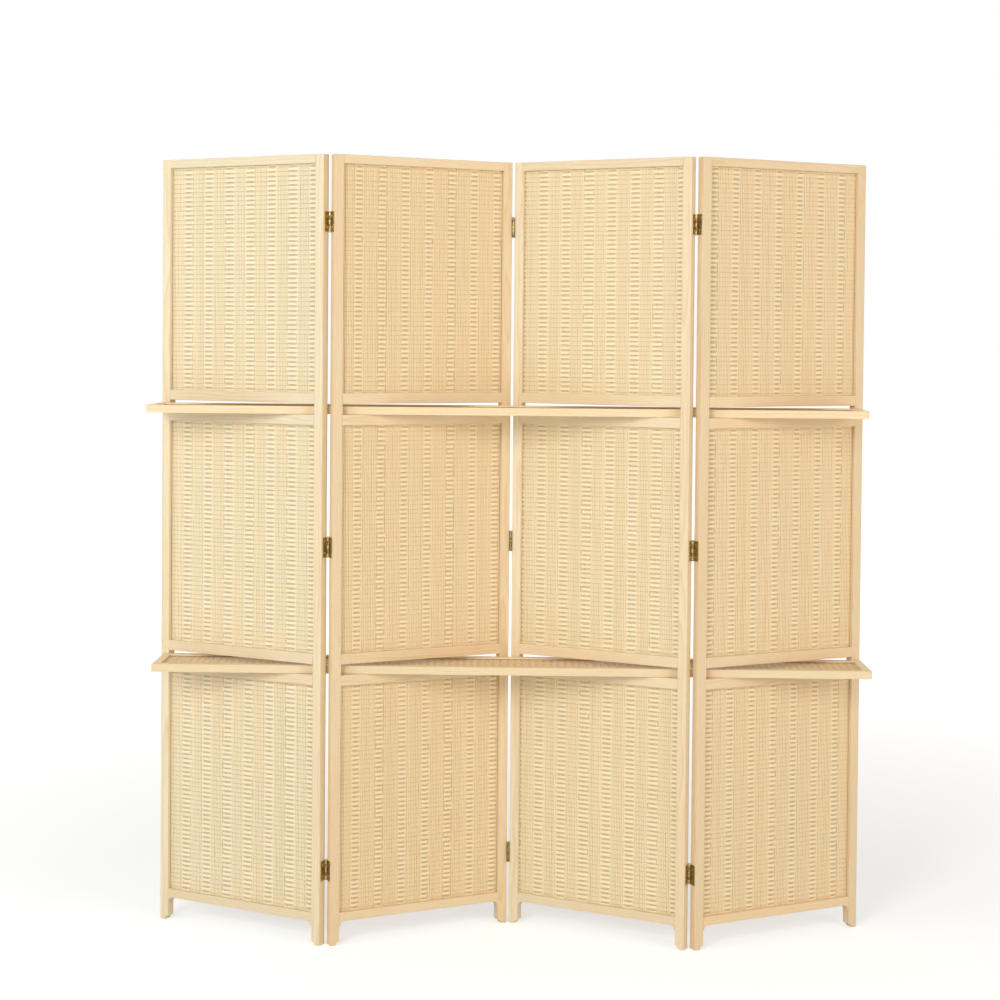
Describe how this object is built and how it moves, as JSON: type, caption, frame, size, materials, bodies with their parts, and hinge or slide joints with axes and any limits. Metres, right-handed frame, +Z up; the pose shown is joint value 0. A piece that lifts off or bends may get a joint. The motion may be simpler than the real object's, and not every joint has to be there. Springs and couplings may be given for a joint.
{
  "type": "folding screen",
  "caption": "Free-standing zigzag folding screen of framed woven bamboo panels on hinges, with long tray shelves lying through slots in all the panels.",
  "frame": {"origin": "on the floor under the middle of the screen's overall length and depth", "axes": "+Z up, +X along the screen from its left end to its right as seen from the front, -Y towards the front"},
  "size_m": [1.659, 0.2146, 1.8],
  "materials": {
    "pale_wood": "clear satin on pale pine",
    "woven_bamboo": "natural split bamboo, woven, matt",
    "brass": "dull aged brass"
  },
  "bodies": {
    "panel_1": {"panel_1_bottom_rail": "pale_wood", "panel_1_hinge_screws": "brass", "panel_1_left_stile": "pale_wood", "panel_1_lower_mat": "woven_bamboo", "panel_1_lower_slot_rails": "pale_wood", "panel_1_middle_mat": "woven_bamboo", "panel_1_right_stile": "pale_wood", "panel_1_top_rail": "pale_wood", "panel_1_upper_mat": "woven_bamboo", "panel_1_upper_slot_rails": "pale_wood", "fold_1_left_leaves": "brass", "fold_1_hinge_pins": "brass"},
    "panel_2": {"panel_2_bottom_rail": "pale_wood", "panel_2_hinge_screws": "brass", "panel_2_left_stile": "pale_wood", "panel_2_lower_mat": "woven_bamboo", "panel_2_lower_slot_rails": "pale_wood", "panel_2_middle_mat": "woven_bamboo", "panel_2_right_stile": "pale_wood", "panel_2_top_rail": "pale_wood", "panel_2_upper_mat": "woven_bamboo", "panel_2_upper_slot_rails": "pale_wood", "fold_1_right_leaves": "brass", "fold_2_left_leaves": "brass", "fold_2_hinge_pins": "brass"},
    "panel_3": {"panel_3_bottom_rail": "pale_wood", "panel_3_hinge_screws": "brass", "panel_3_left_stile": "pale_wood", "panel_3_lower_mat": "woven_bamboo", "panel_3_lower_slot_rails": "pale_wood", "panel_3_middle_mat": "woven_bamboo", "panel_3_right_stile": "pale_wood", "panel_3_top_rail": "pale_wood", "panel_3_upper_mat": "woven_bamboo", "panel_3_upper_slot_rails": "pale_wood", "fold_2_right_leaves": "brass", "fold_3_left_leaves": "brass", "fold_3_hinge_pins": "brass"},
    "panel_4": {"panel_4_bottom_rail": "pale_wood", "panel_4_hinge_screws": "brass", "panel_4_left_stile": "pale_wood", "panel_4_lower_mat": "woven_bamboo", "panel_4_lower_slot_rails": "pale_wood", "panel_4_middle_mat": "woven_bamboo", "panel_4_right_stile": "pale_wood", "panel_4_top_rail": "pale_wood", "panel_4_upper_mat": "woven_bamboo", "panel_4_upper_slot_rails": "pale_wood", "fold_3_right_leaves": "brass"},
    "lower_tray": {"lower_tray_back_rail": "pale_wood", "lower_tray_battens": "pale_wood", "lower_tray_end_rails": "pale_wood", "lower_tray_front_rail": "pale_wood", "lower_tray_mat": "woven_bamboo"},
    "upper_tray": {"upper_tray_back_rail": "pale_wood", "upper_tray_battens": "pale_wood", "upper_tray_end_rails": "pale_wood", "upper_tray_front_rail": "pale_wood", "upper_tray_mat": "woven_bamboo"}
  },
  "joints": [
    {"name": "fold_2_3", "type": "hinge", "parent": "panel_2", "child": "panel_3", "pos_m": [0.003, 0.08476, 0.9], "axis": [0, 0, -1], "range_deg": [0, 128]},
    {"name": "fold_1_2", "type": "hinge", "parent": "panel_2", "child": "panel_1", "pos_m": [-0.41165, -0.08476, 0.9], "axis": [0, 0, -1], "range_deg": [0, 128]},
    {"name": "fold_3_4", "type": "hinge", "parent": "panel_3", "child": "panel_4", "pos_m": [0.41765, -0.08476, 0.9], "axis": [0, 0, 1], "range_deg": [0, 128]},
    {"name": "lower_tray_turn", "type": "hinge", "parent": "panel_2", "child": "lower_tray", "pos_m": [-0.20433, 0, 0.627], "axis": [0, 0, -1], "range_deg": [0, 64]},
    {"name": "upper_tray_turn", "type": "hinge", "parent": "panel_2", "child": "upper_tray", "pos_m": [-0.20433, 0, 1.22], "axis": [0, 0, -1], "range_deg": [0, 64]}
  ],
  "couplings": [
    {"joint": "fold_1_2", "follows": "fold_2_3", "ratio": 1},
    {"joint": "fold_3_4", "follows": "fold_2_3", "ratio": 1},
    {"joint": "lower_tray_turn", "follows": "fold_2_3", "ratio": 0.5},
    {"joint": "upper_tray_turn", "follows": "fold_2_3", "ratio": 0.5}
  ]
}
